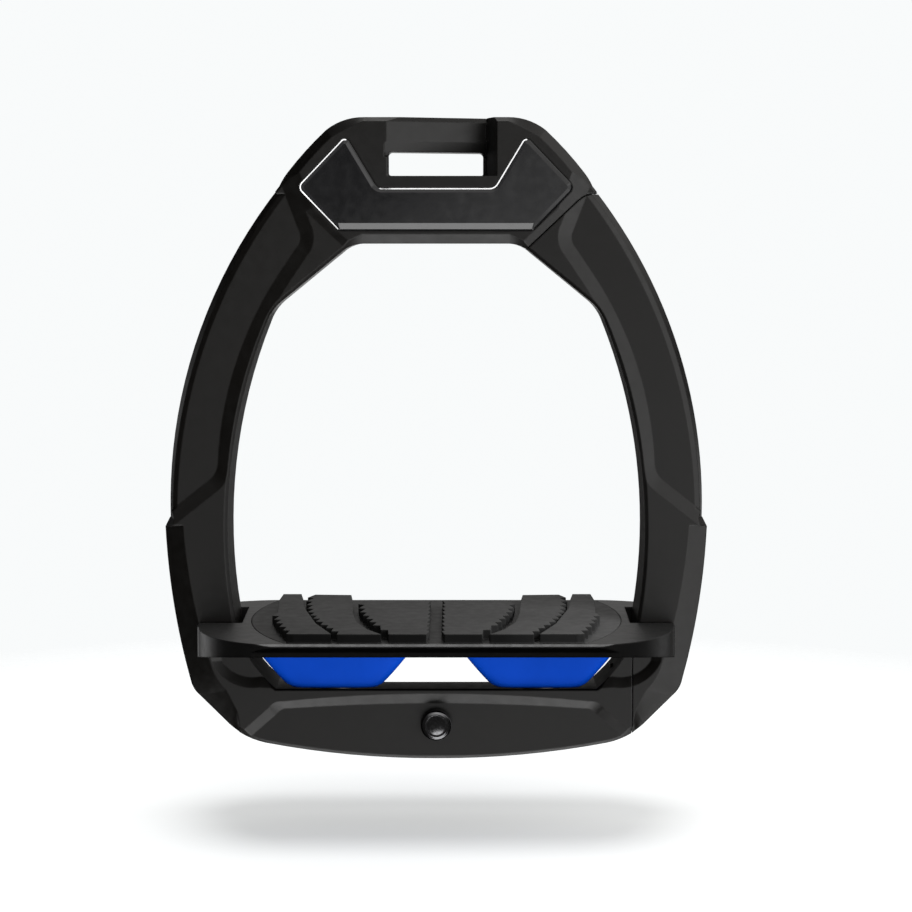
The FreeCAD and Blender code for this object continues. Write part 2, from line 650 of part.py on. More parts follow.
def make_hinge():
    label(cylinder("hinge_pin", (S.hinge_x, S.pin_front, S.hinge_z), (0, 1, 0), "Sizes.pin_radius",
                   "Sizes.pin_rear - Sizes.pin_front"), "hinge_pin")
    plug = cylinder("plug_blank", (S.hinge_x, S.pin_rear + S.plug_gap, S.hinge_z), (0, 1, 0),
                    "Sizes.plug_radius", "Sizes.plug_length")
    key = hex_socket("plug_key", (S.hinge_x, S.pin_rear + S.plug_gap + S.plug_length, S.hinge_z), (0, -1, 0),
                     "Sizes.plug_key_radius", "Sizes.plug_key_depth")
    label(cut("hinge_plug", plug, key), "hinge_plug")
    for face, side in FACES:
        half = S.tongue_thickness / 2
        base = (S.hinge_x, side * half, S.hinge_z)
        ring = cylinder(face + "_bush_ring", base, (0, -side, 0), "Sizes.bush_radius - Sizes.bush_fit",
                        "Sizes.bush_length")
        bore = cylinder(face + "_bush_bore", base, (0, -side, 0), "Sizes.pin_radius + Sizes.pin_running",
                        "Sizes.bush_length")
        name = "hinge_bush_" + face
        label(cut(name, ring, bore), name)


def make_catch():
    seat = S.catch_x + S.seam_gap * CATCH_SHARE
    for face, side in FACES:
        label(cylinder("base_magnet_" + face, (S.catch_x, side * S.magnet_y, S.magnet_z), (-1, 0, 0),
                       "Sizes.magnet_radius", "Sizes.magnet_thickness"), "base_magnet_" + face)
        label(cylinder("branch_keeper_" + face, (seat, side * S.magnet_y, S.magnet_z), (1, 0, 0),
                       "Sizes.magnet_radius", "Sizes.magnet_thickness"), "branch_keeper_" + face)
    dowel = cylinder("dowel_blank", (S.catch_x + S.dowel_proud, 0, S.dowel_z), (-1, 0, 0),
                     "Sizes.dowel_radius", "Sizes.dowel_length")
    nose = add("Cone", "dowel_nose", Placement(Vector(S.catch_x + S.dowel_proud - 0.01, 0, S.dowel_z),
                                               Rotation(Vector(0, 0, 1), Vector(1, 0, 0))),
               Radius1="Sizes.dowel_radius", Radius2="Sizes.dowel_radius * 0.6", Height="Sizes.dowel_nose")
    label(fuse("locating_dowel", [dowel, nose]), "locating_dowel")


def hex_socket(name, mouth, direction, circumradius, depth):
    turn = Rotation(Vector(0, 0, 1), Vector(*direction))
    socket = add("Prism", name, Placement(Vector(*mouth), turn), Circumradius=circumradius, Height=depth)
    socket.Polygon = 6
    return socket


def make_trim():
    """Glossy inlays on both faces of the eye and the round badge on the base."""
    for face, side in FACES:
        name = "eye_inlay_" + face
        body = new_body(name)
        seat = HALF - S.inlay_pocket
        crown = seat + S.inlay_thickness
        shoulder = crown - S.inlay_slope_drop
        foot = shoulder - S.inlay_edge
        run = S.inlay_gap + S.inlay_edge
        levels = [(foot, inlay_outline(-S.inlay_gap)), (shoulder, inlay_outline(-run)),
                  (crown, inlay_outline(-run - S.inlay_slope_run, S.inlay_lower_run - S.inlay_slope_run))]
        plate = add_sketch(body, "plate", "XZ", -side * (seat + foot) / 2, levels[0][1])
        pad(body, "plate_pad", plate, "Sizes.inlay_thickness - Sizes.inlay_slope_drop - Sizes.inlay_edge",
            midplane=True)
        for step, ((low, wide), (high, narrow)) in zip(("edge", "slope"), zip(levels, levels[1:])):
            lower = add_sketch(body, step + "_foot", "XZ", -side * low, wide)
            upper = add_sketch(body, step + "_top", "XZ", -side * high, narrow)
            loft(body, step, "Additive", lower, upper)
        label(body, name)
    face_y = -HALF + S.eye_step + S.base_recess
    cap = cylinder("badge_cap", (0, face_y, S.badge_z), (0, -1, 0), "Sizes.badge_radius",
                   "Sizes.badge_height - Sizes.badge_edge")
    edge_y = face_y - S.badge_height + S.badge_edge
    eased = add("Cone", "badge_eased", Placement(Vector(0, edge_y, S.badge_z),
                                                 Rotation(Vector(0, 0, 1), Vector(0, -1, 0))),
                Radius1="Sizes.badge_radius", Radius2="Sizes.badge_radius - Sizes.badge_edge",
                Height="Sizes.badge_edge")
    spigot = cylinder("badge_spigot", (0, face_y, S.badge_z), (0, 1, 0), "Sizes.badge_spigot_radius",
                      "Sizes.badge_spigot_depth")
    label(fuse("base_badge", [cap, eased, spigot]), "base_badge")


# ---------------------------------------------------------------- tread
SLOPE = math.tan(math.radians(S.tread_incline))


def deck_height(y):
    """Height of the tread's top at a depth y."""
    return S.tread_front_top + (y - S.tread_front) * SLOPE


def deck_plane(lower):
    """Placement of the plane parallel to the deck, a distance below its top."""
    tilt = Rotation(Vector(1, 0, 0), S.tread_incline)
    centre = Vector(0, 0, deck_height(0))
    return Placement(centre, tilt).multiply(Placement(Vector(0, 0, -lower), Rotation()))


def tread_plan():
    """Plan of the plate without its notches."""
    wide, straight = S.tread_half_width, S.straight_half_width
    right = [
        line((0, S.tread_front), (straight, S.tread_front)),
        arc((straight, S.tread_front), (59.4, -34.2), (wide - 0.6, -17.4)),
        arc((wide - 0.6, -17.4), (wide, -16.0), (wide, -14.6)),
        line((wide, -14.6), (wide, 13.4)),
        arc((wide, 13.4), (wide - 2.2, 16.4), (wide - 6.0, 18.4)),
        arc((wide - 6.0, 18.4), (54.5, 21.1), (straight, S.tread_rear)),
        line((straight, S.tread_rear), (0, S.tread_rear)),
    ]
    return right + mirrored(right)


def rectangle(x0, y0, x1, y1):
    return polygon([(x0, y0), (x1, y0), (x1, y1), (x0, y1)])


def grip_plan(gap):
    """Plan of the grip in the deck's own plane: straight front and rear, bowed ends."""
    front, rear = S.grip_front + gap, S.grip_rear - gap
    toe, heel, bulge = 42.0 - gap, 48.0 - gap, S.grip_half_length - gap
    return [
        line((-toe, front), (toe, front)),
        arc((toe, front), (bulge, -5.0), (heel, rear)),
        line((heel, rear), (-heel, rear)),
        arc((-heel, rear), (-bulge, -5.0), (-toe, front)),
    ]


def toothed(points, depth):
    """Saw teeth along a chain of points, pointing to the right of the walk."""
    teeth = [points[0]]
    for (x0, y0), (x1, y1) in zip(points, points[1:]):
        length = math.hypot(x1 - x0, y1 - y0)
        count = max(1, round(length / S.tooth_pitch))
        ux, uy = (x1 - x0) / length, (y1 - y0) / length
        for i in range(count):
            root = (i + 1) / count * length
            tip = root - S.tooth_flank
            teeth.append((x0 + ux * tip + uy * depth, y0 + uy * tip - ux * depth))
            teeth.append((x0 + ux * root, y0 + uy * root))
    return teeth


def lug_outlines():
    """Plan of the three lugs of the left half, each walked up its right side and down its left side."""
    right = [
        [(-28.8, -38.0), (-33.9, -23.6), (-38.4, -2.3), (-39.6, 10.6), (-40.7, 19.0)],
        [(-14.9, -38.4), (-19.2, -31.4), (-22.5, -22.0), (-24.0, -9.0), (-24.6, 6.0), (-25.7, 17.6)],
        toothed([(-2.5, -38.4), (-2.5, 9.8)], S.groove_tooth_depth),
    ]
    left = [
        [(-46.1, 19.0), (-46.8, 8.0)]
        + toothed([(-45.9, -8.5), (-43.1, -23.6), (-39.2, -38.0)], S.tooth_depth),
        toothed([(-36.5, 18.2), (-36.7, 7.3), (-35.2, -8.5), (-32.0, -21.5), (-25.2, -38.4)], S.tooth_depth),
        toothed([(-20.3, 9.8), (-21.2, 2.5), (-20.1, -8.5), (-15.6, -26.5), (-10.9, -38.4)], S.tooth_depth),
    ]
    return [up + down for up, down in zip(right, left)]


def make_tread():
    body = new_body("tread_plate")
    block = add_sketch(body, "plan", "XY", S.tread_underside, tread_plan())
    pad(body, "block", block, "Sizes.tread_block_top - Sizes.tread_underside")
    front, rear = S.tread_front - 2, S.tread_rear + 2
    ceiling = S.tread_block_top + 2
    above = polygon([(front, deck_height(front)), (rear, deck_height(rear)), (rear, ceiling),
                     (front, ceiling)])
    pocket(body, "incline", add_sketch(body, "incline_side", "YZ", 0, above), "4 * Sizes.tread_half_width",
           midplane=True)
    top = deck_height(S.tread_front)
    low = S.tread_underside - 1
    toe = S.tread_front + S.toe_run
    slope = (top - S.front_face - S.tread_underside) / S.toe_run
    under = polygon([(front, top - S.front_face + 2 * slope), (toe, S.tread_underside), (toe, low),
                     (front, low)])
    pocket(body, "toe_slope", add_sketch(body, "toe_slope_side", "YZ", 0, under),
           "4 * Sizes.tread_half_width", midplane=True)
    set_back = S.tread_front + S.undercut
    lip, foot = top - S.front_lip, top - S.front_lip - 1.2 * S.undercut
    cove = polygon([(front, lip), (S.tread_front - SKIN, lip), (set_back, foot), (set_back, low),
                    (front, low)])
    pocket(body, "front_cove", add_sketch(body, "front_cove_side", "YZ", 0, cove),
           "4 * Sizes.tread_half_width", midplane=True)
    rim = polygon([(front, lip + S.rim_bevel - 2), (S.tread_front + S.rim_bevel, top + SKIN),
                   (S.tread_front + S.rim_bevel, top + 1), (front, top + 1)])
    pocket(body, "front_rim", add_sketch(body, "front_rim_side", "YZ", 0, rim),
           "4 * Sizes.tread_half_width", midplane=True)
    for side in (1, -1):
        name = {1: "right", -1: "left"}[side]
        wall = add_sketch(body, name + "_notch_plan", "XY", S.deck_underside,
                          rectangle(side * S.notch_wall, -S.notch_half_depth, side * FAR, S.notch_half_depth))
        pocket(body, name + "_notch", wall, "4 * Sizes.keel_depth", midplane=True)
        under = add_sketch(body, name + "_relief_plan", "XY", S.deck_underside - S.keel_depth,
                           rectangle(side * S.keel_half_width, -S.notch_half_depth - 0.5,
                                     side * (S.notch_wall + 1), S.notch_half_depth + 0.5))
        pocket(body, name + "_relief", under, "2 * Sizes.keel_depth", midplane=True)
    seat = add_sketch(body, "grip_seat_plan", "XY", deck_plane(0), grip_plan(0))
    pocket(body, "grip_seat", seat, "2 * Sizes.grip_thickness", midplane=True)
    holes = []
    floor = deck_height(0) - S.grip_thickness
    for x in (-S.elastomer_x, S.elastomer_x):
        side = "left" if x < 0 else "right"
        holes.append(cylinder(side + "_screw_hole", (x, 0, S.tread_underside - 1), (0, 0, 1),
                              "Sizes.screw_radius + Sizes.bolt_clearance", "Sizes.tread_drill_depth"))
        head_seat = floor - S.screw_head_height - S.screw_sink
        holes.append(cylinder(side + "_head_hole", (x, 0, head_seat), (0, 0, 1),
                              "Sizes.screw_head_radius + Sizes.bolt_clearance",
                              "2 * Sizes.screw_head_height"))
    label(cut("tread_plate_drilled", body, fuse("tread_holes", holes)), "tread_plate")
    body.Label = "tread_plate_blank"

    grip = new_body("grip_insert")
    plan = add_sketch(grip, "plan", "XY", deck_plane(S.grip_thickness), grip_plan(S.grip_gap))
    pad(grip, "sheet", plan, "Sizes.grip_thickness")
    outline = []
    for corners in lug_outlines():
        outline += polygon(corners)
        outline += polygon([(-x, y) for x, y in reversed(corners)])
    lugs = add_sketch(grip, "lug_plan", "XY", deck_plane(S.grip_thickness / 2), outline)
    pad(grip, "lugs", lugs, "Sizes.lug_rise + Sizes.grip_thickness / 2")
    label(grip, "grip_insert")

    for x in (-S.elastomer_x, S.elastomer_x):
        side = "left" if x < 0 else "right"
        mouth = floor - S.screw_sink
        head = cylinder(side + "_screw_head", (x, 0, mouth), (0, 0, -1), "Sizes.screw_head_radius",
                        "Sizes.screw_head_height")
        shank_base = mouth - S.screw_head_height + S.shank_overlap
        shank = cylinder(side + "_screw_shank", (x, 0, shank_base), (0, 0, -1), "Sizes.screw_radius",
                         "%f mm" % (shank_base - (S.tread_underside - S.insert_thickness)))
        key = hex_socket(side + "_screw_key", (x, 0, mouth), (0, 0, -1), "Sizes.screw_key_radius",
                         "Sizes.screw_key_depth")
        name = "tread_screw_" + side
        label(cut(name, fuse(name + "_blank", [head, shank]), key), name)
        disc = cylinder(side + "_upper_disc", (x, 0, S.tread_underside), (0, 0, -1), "Sizes.insert_radius",
                        "Sizes.insert_thickness")
        hole = cylinder(side + "_upper_thread", (x, 0, S.tread_underside), (0, 0, -1),
                        "Sizes.screw_radius + Sizes.thread_clearance", "Sizes.insert_thickness")
        name = "upper_insert_" + side
        label(cut(name, disc, hole), name)


def make_elastomers():
    for x in (-S.elastomer_x, S.elastomer_x):
        side = "left" if x < 0 else "right"
        body = new_body("elastomer_block_" + side)
        levels = [(S.base_top, S.elastomer_foot_half, S.elastomer_foot_depth / 2),
                  (S.elastomer_waist, S.elastomer_waist_half, S.elastomer_waist_depth / 2),
                  (S.tread_underside, S.elastomer_top_half, S.elastomer_top_depth / 2)]
        for i, pair in enumerate(zip(levels, levels[1:])):
            lower, upper = [add_sketch(body, "span_%d_%s" % (i, end), "XY", z,
                                       rectangle(x - half, -deep, x + half, deep))
                            for end, (z, half, deep) in zip(("foot", "top"), pair)]
            loft(body, "taper_%d" % i, "Additive", lower, upper)
        tools = []
        for where, z, up in (("lower", S.base_top, 1), ("upper", S.tread_underside, -1)):
            tools.append(cylinder("%s_%s_pocket" % (side, where), (x, 0, z), (0, 0, up),
                                  "Sizes.insert_radius + Sizes.insert_clearance",
                                  "Sizes.insert_thickness + Sizes.insert_clearance"))
        name = "elastomer_" + side
        label(cut(name, body, fuse(name + "_pockets", tools)), name)


def make_base_bolts():
    for x in (-S.elastomer_x, S.elastomer_x):
        side = "left" if x < 0 else "right"
        seat = S.counterbore_floor - S.washer_thickness
        head = cylinder(side + "_bolt_head", (x, 0, seat), (0, 0, -1), "Sizes.head_radius",
                        "Sizes.head_height")
        shank = cylinder(side + "_bolt_shank", (x, 0, seat - S.shank_overlap), (0, 0, 1), "Sizes.bolt_radius",
                         "%f mm" % (S.base_top + S.insert_thickness - seat + S.shank_overlap))
        key = hex_socket(side + "_bolt_key", (x, 0, seat - S.head_height), (0, 0, 1),
                         "Sizes.socket_radius", "Sizes.socket_depth")
        name = "base_bolt_" + side
        label(cut(name, fuse(name + "_blank", [head, shank]), key), name)
        ring = cylinder(side + "_washer_ring", (x, 0, seat), (0, 0, 1), "Sizes.washer_radius",
                        "Sizes.washer_thickness")
        hole = cylinder(side + "_washer_hole", (x, 0, seat), (0, 0, 1),
                        "Sizes.bolt_radius + Sizes.bolt_clearance", "Sizes.washer_thickness")
        label(cut("base_washer_" + side, ring, hole), "base_washer_" + side)
        disc = cylinder(side + "_lower_disc", (x, 0, S.base_top), (0, 0, 1), "Sizes.insert_radius",
                        "Sizes.insert_thickness")
        thread = cylinder(side + "_lower_thread", (x, 0, S.base_top), (0, 0, 1),
                          "Sizes.bolt_radius + Sizes.thread_clearance", "Sizes.insert_thickness")
        label(cut("lower_insert_" + side, disc, thread), "lower_insert_" + side)


def check_and_write():
    doc.recompute()
    for obj in doc.Objects:
        if "Invalid" in obj.State or "Error" in obj.State:
            raise RuntimeError("%s failed: %s" % (obj.Name, obj.State))
    os.makedirs("parts", exist_ok=True)
    for name, obj in NODES.items():
        shape = obj.Shape
        if shape.isNull() or not shape.isValid() or len(shape.Solids) != 1:
            raise RuntimeError("%s is not one valid solid" % name)
        shape.exportStep("parts/%s.step" % name)
        box = shape.BoundBox
        print("%-22s %9.1f mm3  z %.1f to %.1f" % (name, shape.Volume, box.ZMin, box.ZMax))


make_frame()
make_hinge()
make_catch()
make_trim()
make_tread()
make_elastomers()
make_base_bolts()
check_and_write()
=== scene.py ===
import math

import bmesh
import bpy
from mathutils import Matrix, Vector


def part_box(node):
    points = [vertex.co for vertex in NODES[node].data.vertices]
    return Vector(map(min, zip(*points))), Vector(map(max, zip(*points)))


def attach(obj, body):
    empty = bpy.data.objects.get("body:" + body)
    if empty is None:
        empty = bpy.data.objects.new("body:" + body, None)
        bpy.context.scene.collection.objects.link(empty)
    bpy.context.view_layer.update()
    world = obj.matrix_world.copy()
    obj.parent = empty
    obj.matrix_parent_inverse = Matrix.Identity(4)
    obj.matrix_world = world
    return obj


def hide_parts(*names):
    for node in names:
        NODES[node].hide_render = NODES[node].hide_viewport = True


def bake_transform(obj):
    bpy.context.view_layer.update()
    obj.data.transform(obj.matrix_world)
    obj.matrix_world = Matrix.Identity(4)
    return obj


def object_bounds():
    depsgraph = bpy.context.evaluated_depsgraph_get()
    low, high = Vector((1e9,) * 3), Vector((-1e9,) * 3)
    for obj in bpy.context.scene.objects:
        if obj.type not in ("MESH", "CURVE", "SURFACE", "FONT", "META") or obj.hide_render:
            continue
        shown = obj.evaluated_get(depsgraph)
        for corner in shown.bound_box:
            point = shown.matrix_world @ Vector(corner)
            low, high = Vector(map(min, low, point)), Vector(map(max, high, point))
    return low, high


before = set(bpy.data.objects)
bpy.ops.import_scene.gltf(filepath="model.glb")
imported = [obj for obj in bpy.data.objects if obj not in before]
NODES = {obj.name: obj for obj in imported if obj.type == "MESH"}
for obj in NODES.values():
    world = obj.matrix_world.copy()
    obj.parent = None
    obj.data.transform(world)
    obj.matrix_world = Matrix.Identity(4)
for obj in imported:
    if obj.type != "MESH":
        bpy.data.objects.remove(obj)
CAD_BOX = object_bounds()
MM = 0.001


# ---------------------------------------------------------------- shader helpers
class Material:
    """A node material that is built up step by step."""

    def __init__(self, name):
        self.data = bpy.data.materials.new(name)
        self.data.use_nodes = True
        self.tree = self.data.node_tree
        self.bsdf = self.tree.nodes["Principled BSDF"]
        self.coord = self.tree.nodes.new("ShaderNodeTexCoord")

    def node(self, kind, **settings):
        made = self.tree.nodes.new(kind)
        for key, value in settings.items():
            if key in made.inputs:
                made.inputs[key].default_value = value
            else:
                setattr(made, key, value)
        return made

    def link(self, source, target):
        self.tree.links.new(source, target)

    def noise(self, scale, detail=4.0, roughness=0.55):
        made = self.node("ShaderNodeTexNoise", Scale=scale, Detail=detail, Roughness=roughness)
        self.link(self.coord.outputs["Object"], made.inputs["Vector"])
        return made.outputs["Fac"]

    def ramp(self, source, low, high, out_low=0.0, out_high=1.0):
        made = self.node("ShaderNodeMapRange")
        made.inputs["From Min"].default_value = low
        made.inputs["From Max"].default_value = high
        made.inputs["To Min"].default_value = out_low
        made.inputs["To Max"].default_value = out_high
        self.link(source, made.inputs["Value"])
        return made.outputs["Result"]

    def mix(self, factor, dark, light):
        made = self.tree.nodes.new("ShaderNodeMix")
        made.data_type = "RGBA"
        made.inputs["A"].default_value = (*dark, 1)
        made.inputs["B"].default_value = (*light, 1)
        self.link(factor, made.inputs["Factor"])
        return made.outputs["Result"]

    def bump(self, height, strength, distance, after=None):
        made = self.node("ShaderNodeBump", Strength=strength, Distance=distance)
        self.link(height, made.inputs["Height"])
        if after is not None:
            self.link(after, made.inputs["Normal"])
        return made.outputs["Normal"]

    def soft_edges(self, radius):
        """Normal that rounds every edge a little."""
        return self.node("ShaderNodeBevel", samples=4, Radius=radius).outputs["Normal"]


def moulded(name, dark, light, roughness, grain, grain_depth, specular=0.5, edge=0.0005):
    """Fine-textured moulded surface: cloudy colour, uneven sheen, a fine grain and eased edges."""
    m = Material(name)
    clouds = m.noise(scale=60.0, detail=3.0)
    colour = m.mix(m.ramp(clouds, 0.35, 0.65), dark, light)
    m.link(colour, m.bsdf.inputs["Base Color"])
    fine = m.noise(scale=grain, detail=3.0, roughness=0.6)
    sheen = m.ramp(m.noise(scale=350.0, detail=5.0), 0.3, 0.7, roughness - 0.05, roughness + 0.06)
    m.link(sheen, m.bsdf.inputs["Roughness"])
    softened = m.soft_edges(edge) if edge else None
    m.link(m.bump(fine, strength=0.35, distance=grain_depth, after=softened), m.bsdf.inputs["Normal"])
    m.bsdf.inputs["Specular IOR Level"].default_value = specular
    return m.data


def turned_metal(name, colour, roughness):
    """Turned or plated metal with a fine grain and handling marks."""
    m = Material(name)
    marks = m.noise(scale=400.0)
    dark = tuple(0.75 * c for c in colour)
    m.link(m.mix(m.ramp(marks, 0.3, 0.7), dark, colour), m.bsdf.inputs["Base Color"])
    polish = m.ramp(m.noise(scale=1500.0, detail=3.0), 0.3, 0.7, roughness - 0.06, roughness + 0.08)
    m.link(polish, m.bsdf.inputs["Roughness"])
    grain = m.noise(scale=2500.0, detail=2.0)
    m.link(m.bump(grain, strength=0.15, distance=0.00002), m.bsdf.inputs["Normal"])
    m.bsdf.inputs["Metallic"].default_value = 1.0
    return m.data


FRAME_MATERIAL = moulded("frame_composite", dark=(0.0046, 0.0040, 0.0033), light=(0.0060, 0.0052, 0.0044),
                         roughness=0.36, grain=2600.0, grain_depth=0.00003)
TREAD_MATERIAL = moulded("tread_composite", dark=(0.022, 0.022, 0.022), light=(0.028, 0.028, 0.028),
                         roughness=0.38, grain=2200.0, grain_depth=0.00003)
GRIP_MATERIAL = moulded("grip_rubber", dark=(0.009, 0.009, 0.009), light=(0.013, 0.013, 0.013),
                        roughness=0.52, grain=1800.0, grain_depth=0.00005, specular=0.35)
STEEL = turned_metal("steel", (0.55, 0.55, 0.56), roughness=0.3)
BLACK_STEEL = turned_metal("black_steel", (0.05, 0.05, 0.052), roughness=0.4)
BRONZE = turned_metal("bronze", (0.55, 0.36, 0.16), roughness=0.4)
NICKEL = turned_metal("nickel", (0.42, 0.42, 0.43), roughness=0.25)
DARK_CHROME = turned_metal("dark_chrome", (0.30, 0.30, 0.31), roughness=0.16)
INLAY = moulded("inlay_gloss", dark=(0.008, 0.008, 0.0085), light=(0.0095, 0.0095, 0.010),
                roughness=0.10, grain=900.0, grain_depth=0.000004, edge=0.0)
BLUE = moulded("blue_elastomer", dark=(0.001, 0.066, 0.58), light=(0.002, 0.074, 0.64),
               roughness=0.5, grain=1500.0, grain_depth=0.00002, specular=0.05)

PAINTS = {
    "main_frame": FRAME_MATERIAL, "release_branch": FRAME_MATERIAL, "tread_plate": TREAD_MATERIAL,
    "grip_insert": GRIP_MATERIAL, "hinge_pin": STEEL, "hinge_plug": BLACK_STEEL,
    "hinge_bush_front": BRONZE, "hinge_bush_rear": BRONZE, "locating_dowel": STEEL,
    "base_magnet_front": NICKEL, "base_magnet_rear": NICKEL, "branch_keeper_front": NICKEL,
    "branch_keeper_rear": NICKEL, "base_badge": DARK_CHROME, "eye_inlay_front": INLAY,
    "eye_inlay_rear": INLAY, "elastomer_left": BLUE, "elastomer_right": BLUE,
}
for side in ("left", "right"):
    PAINTS["base_bolt_" + side] = BLACK_STEEL
    PAINTS["base_washer_" + side] = STEEL
    PAINTS["tread_screw_" + side] = BLACK_STEEL
    PAINTS["lower_insert_" + side] = STEEL
    PAINTS["upper_insert_" + side] = STEEL
for node, material in PAINTS.items():
    NODES[node].data.materials.clear()
    NODES[node].data.materials.append(material)


# ---------------------------------------------------------------- replaced pieces
def add_mesh(name, rings, material):
    """Closed skin through rings of points that all have the same count."""
    mesh = bpy.data.meshes.new(name)
    count = len(rings[0])
    points = [Vector(p) for ring in rings for p in ring]
    faces = []
    for level in range(len(rings) - 1):
        low, high = level * count, (level + 1) * count
        for i in range(count):
            j = (i + 1) % count
            faces.append((low + i, low + j, high + j, high + i))
    faces.append(tuple(range(count - 1, -1, -1)))
    faces.append(tuple(range(len(points) - count, len(points))))
    mesh.from_pydata(points, [], faces)
    shell = bmesh.new()
    shell.from_mesh(mesh)
    bmesh.ops.recalc_face_normals(shell, faces=shell.faces)
    shell.to_mesh(mesh)
    shell.free()
    mesh.polygons.foreach_set("use_smooth", [len(face.vertices) == 4 for face in mesh.polygons])
    mesh.materials.append(material)
    obj = bpy.data.objects.new(name, mesh)
    bpy.context.scene.collection.objects.link(obj)
    return obj


def smooth_step(t):
    return t * t * (3 - 2 * t)


def turns_of(sides):
    """Angles of the corners of a regular polygon."""
    return [2 * math.pi * i / sides for i in range(sides)]


def make_elastomer(side):
    """Cast block that narrows towards its foot, with bowed faces and a rounded lower edge."""
    node = "elastomer_" + side
    low, high = (Vector(corner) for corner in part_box(node))
    centre, half = (low + high) / 2, (high - low) / 2
    levels, sides = 24, 96
    foot_width, foot_depth, bow = 0.59, 0.85, 0.88
    squareness, edge_radius, edge_share = 0.3, 0.5 * MM, 0.12
    rings = []
    for level in range(levels + 1):
        t = level / levels
        spread = t ** bow
        inset = edge_radius * (1 - smooth_step(min(1.0, t / edge_share)))
        wide = half.x * (foot_width + (1 - foot_width) * spread) - inset
        deep = half.y * (foot_depth + (1 - foot_depth) * spread) - inset
        height = low.z + t * (high.z - low.z)
        ring = []
        for turn in turns_of(sides):
            c, s = math.cos(turn), math.sin(turn)
            x = math.copysign(abs(c) ** squareness, c) * wide
            y = math.copysign(abs(s) ** squareness, s) * deep
            ring.append((centre.x + x, centre.y + y, height))
        rings.append(ring)
    block = add_mesh("cast_" + node, rings, BLUE)
    block.visible_glossy = False
    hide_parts(node)
    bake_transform(block)
    return block


def make_badge():
    """Turned cap with a low dome, a fine ring and a rolled rim, on its spigot."""
    low, high = (Vector(corner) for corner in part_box("base_badge"))
    centre, radius = (low + high) / 2, (high.x - low.x) / 2
    sides, tip, spigot = 96, 0.02 * MM, 0.55
    face, back = low.y, high.y
    seat = face + 3.6 * MM
    # share of the radius, and depth behind the face in millimetres
    dome = [(0.0, 0.0), (0.30, 0.06), (0.55, 0.20), (0.66, 0.30), (0.70, 0.24), (0.75, 0.26), (0.79, 0.36),
            (0.86, 0.44), (0.93, 0.58), (0.98, 0.82), (1.0, 1.2)]
    profile = [(share * radius, face + depth * MM) for share, depth in dome]
    profile += [(radius, seat), (spigot * radius, seat), (spigot * radius, back)]
    rings = []
    for r, y in profile:
        r = max(r, tip)
        rings.append([(centre.x + r * math.cos(turn), y, centre.z + r * math.sin(turn))
                      for turn in turns_of(sides)])
    cap = add_mesh("turned_base_badge", rings, DARK_CHROME)
    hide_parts("base_badge")
    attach(cap, "frame")
    return cap


elastomers = [make_elastomer("left"), make_elastomer("right")]
badge = make_badge()


# ---------------------------------------------------------------- floor, backdrop and camera
WHITE = (0.945, 0.962, 0.965)


def make_floor():
    """Pale floor under the iron, which hangs just above it; its rim fades into the backdrop."""
    radius, sides, gap = 0.5, 128, 0.018
    fade_start, fade_end = 0.20, 0.32
    mesh = bpy.data.meshes.new("floor")
    rim = [(radius * math.cos(turn), radius * math.sin(turn), 0.0) for turn in turns_of(sides)]
    mesh.from_pydata(rim, [], [tuple(range(sides))])
    floor = bpy.data.objects.new("floor", mesh)
    floor.location.z = CAD_BOX[0][2] - gap
    bpy.context.scene.collection.objects.link(floor)
    m = Material("floor")
    m.link(m.mix(m.noise(scale=3.0), (0.86, 0.875, 0.88), (0.89, 0.905, 0.91)), m.bsdf.inputs["Base Color"])
    m.bsdf.inputs["Roughness"].default_value = 0.9
    m.bsdf.inputs["Specular IOR Level"].default_value = 0.1
    m.bsdf.inputs["Emission Color"].default_value = (*WHITE, 1)
    m.bsdf.inputs["Emission Strength"].default_value = 0.44
    distance = m.node("ShaderNodeVectorMath", operation="LENGTH")
    m.link(m.coord.outputs["Object"], distance.inputs[0])
    clear = m.tree.nodes.new("ShaderNodeBsdfTransparent")
    blend = m.tree.nodes.new("ShaderNodeMixShader")
    m.link(m.ramp(distance.outputs["Value"], fade_start, fade_end), blend.inputs["Fac"])
    m.link(m.bsdf.outputs["BSDF"], blend.inputs[1])
    m.link(clear.outputs["BSDF"], blend.inputs[2])
    m.link(blend.outputs["Shader"], m.tree.nodes["Material Output"].inputs["Surface"])
    mesh.materials.append(m.data)
    floor.visible_diffuse = False
    floor.visible_glossy = False
    floor.visible_shadow = False
    return floor


